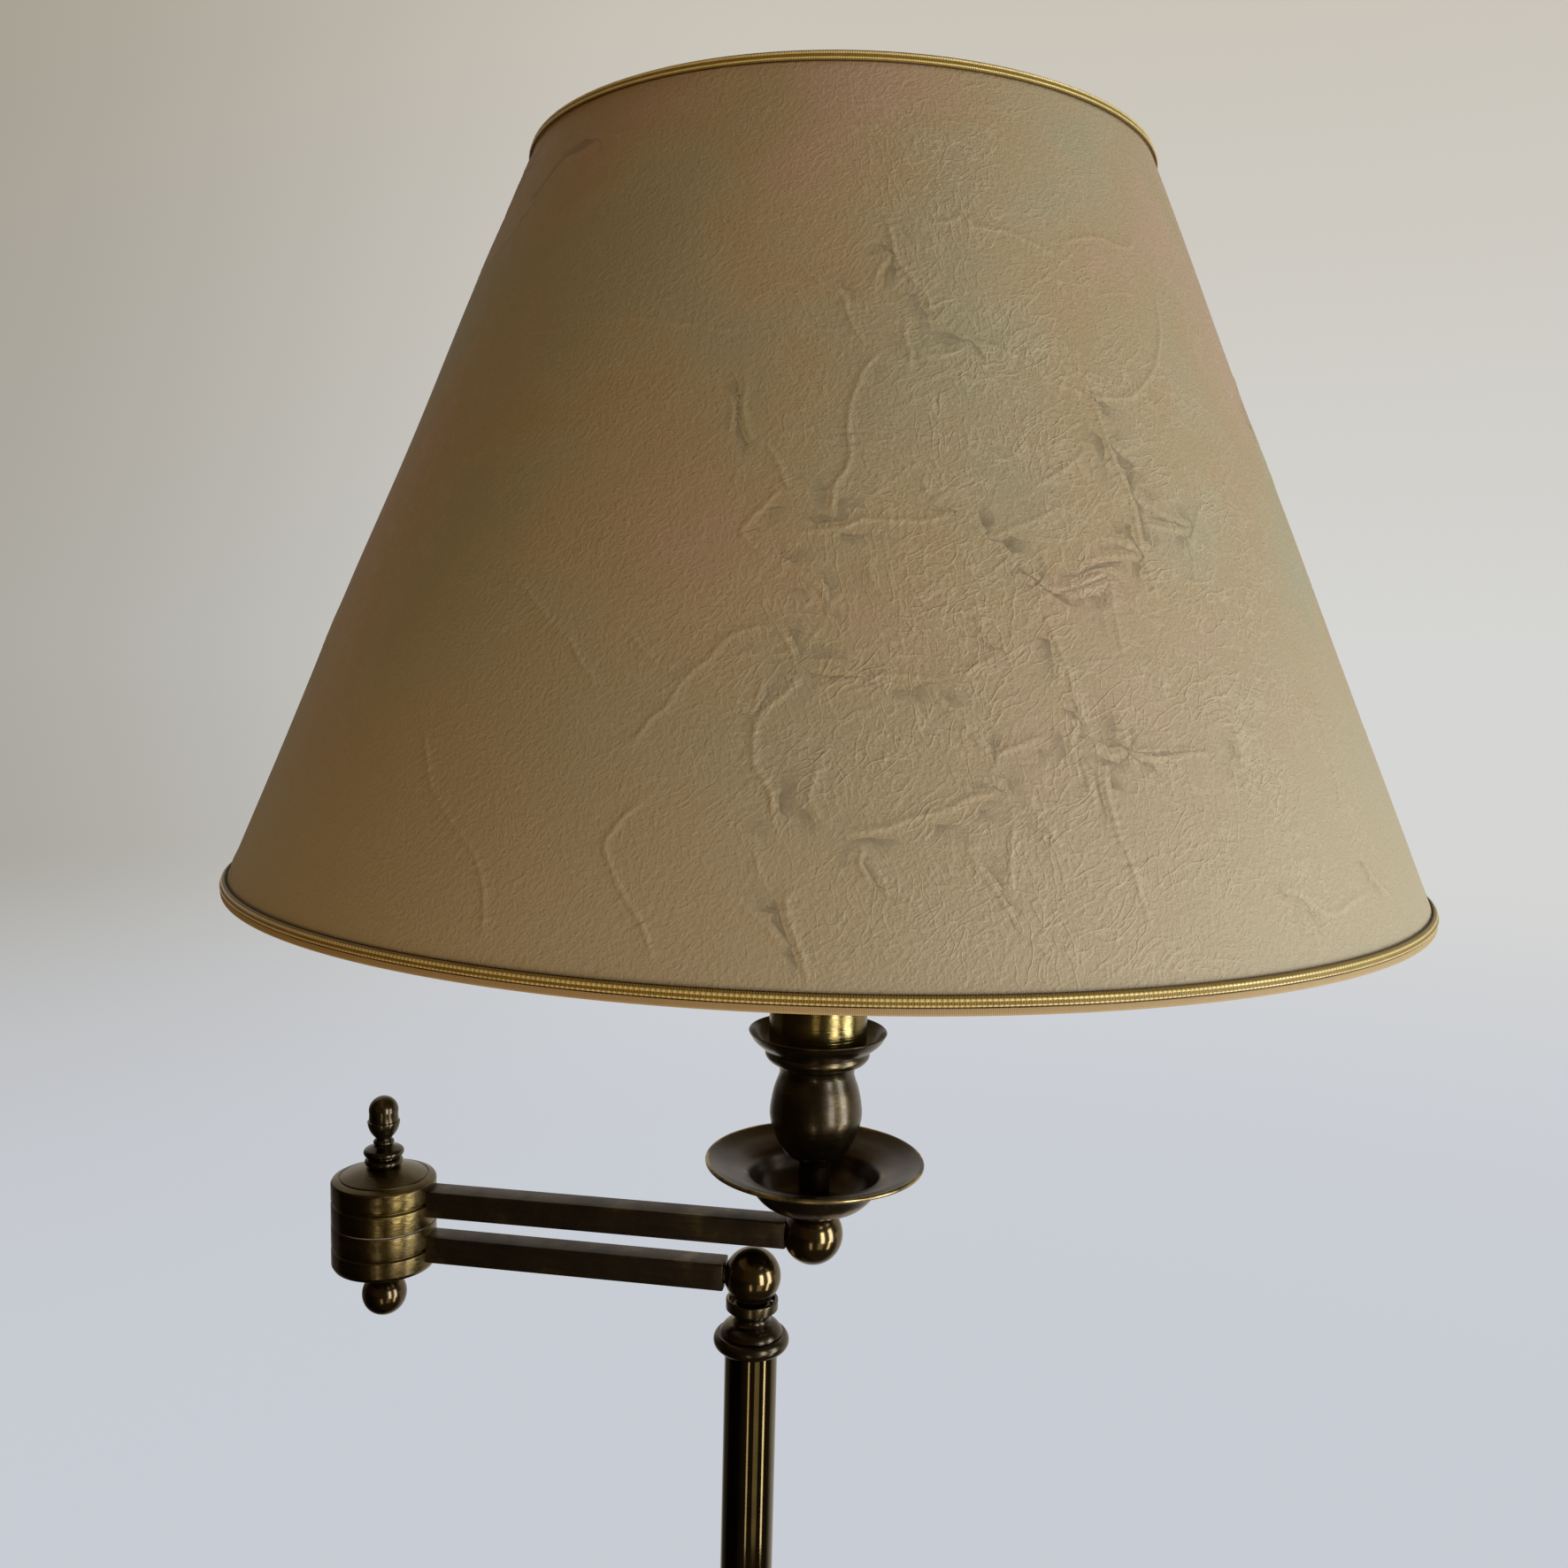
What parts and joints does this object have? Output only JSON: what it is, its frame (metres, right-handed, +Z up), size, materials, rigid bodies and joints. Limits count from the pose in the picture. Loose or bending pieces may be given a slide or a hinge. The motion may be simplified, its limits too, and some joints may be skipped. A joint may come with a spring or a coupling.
{
  "type": "bridge floor lamp",
  "caption": "Floor lamp with a weighted round base, a pole, two folding square arms that swivel, a candle in a drip dish, and a cone shade of parchment bound with braid.",
  "frame": {"origin": "centre of the felt pad's underside, on the pole's axis at floor level", "axes": "+Z up along the pole, -Y towards the viewer of the picture, +X to its right"},
  "size_m": [0.4503, 0.4503, 1.4806],
  "materials": {
    "antique_brass": "patinated",
    "polished_dark_brass": "polished",
    "brushed_brass": "brushed",
    "raw_brass": "turned",
    "brassed_wire": "plated",
    "zinc_steel": "zinc plated",
    "cast_iron": "rough cast",
    "felt": "felted",
    "black_bush": "moulded",
    "nylon": "moulded",
    "black_phenolic": "moulded",
    "white_porcelain": "pressed",
    "parchment": "crinkled and waxed",
    "tan_tape": "woven",
    "gold_braid": "braided",
    "opal_glass": "opal"
  },
  "bodies": {
    "stand": {"felt_pad": "felt", "base_weight": "cast_iron", "base_cover": "antique_brass", "cord_bush": "black_bush", "base_nipple": "raw_brass", "base_nut": "zinc_steel", "base_washer": "zinc_steel", "base_collar": "antique_brass", "pole_lower": "polished_dark_brass", "pole_coupling": "antique_brass", "pole_upper": "polished_dark_brass", "pole_cap": "antique_brass", "pole_stop_pin": "zinc_steel", "swivel_washer": "nylon"},
    "lower_arm_body": {"pole_ball": "brushed_brass", "pole_pivot": "raw_brass", "pivot_spring": "zinc_steel", "pivot_nut": "zinc_steel", "lower_arm": "antique_brass", "lower_arm_nipples": "raw_brass", "elbow_lower": "brushed_brass", "elbow_bolt": "zinc_steel", "ball_nut": "brushed_brass", "elbow_washer": "nylon", "elbow_spring": "zinc_steel", "finial_spool": "antique_brass", "acorn_finial": "antique_brass"},
    "upper_arm_body": {"elbow_upper": "brushed_brass", "elbow_stop_pin": "zinc_steel", "upper_arm": "antique_brass", "upper_arm_nipples": "raw_brass", "end_ball": "brushed_brass", "candle_nipple": "raw_brass", "dish_ring": "brushed_brass", "drip_dish": "antique_brass", "dish_stem": "antique_brass", "candle_cup": "antique_brass", "cup_nut": "zinc_steel", "candle_sleeve": "brushed_brass", "lampholder_cap": "black_phenolic", "holder_nut": "zinc_steel", "lampholder_skirt": "black_phenolic", "contact_block": "white_porcelain", "socket_shell": "raw_brass", "harp_plate": "zinc_steel", "shade_ring_nut": "black_phenolic", "harp": "zinc_steel", "harp_stud": "raw_brass", "shade_finial": "brushed_brass", "shade_spider": "brassed_wire", "shade_bottom_ring": "brassed_wire", "shade_paper": "parchment", "top_binding": "tan_tape", "bottom_binding": "tan_tape", "top_braid": "gold_braid", "bottom_braid": "gold_braid", "bulb_cap": "zinc_steel", "bulb_glass": "opal_glass"}
  },
  "joints": [
    {"name": "pole_swivel", "type": "hinge", "parent": "stand", "child": "lower_arm_body", "pos_m": [0, 0, 1.04], "axis": [0, 0, 1], "range_deg": [-165, 165]},
    {"name": "elbow_swivel", "type": "hinge", "parent": "lower_arm_body", "child": "upper_arm_body", "pos_m": [-0.16036, 0.02626, 1.05], "axis": [0, 0, 1], "range_deg": [-155, 180]}
  ]
}
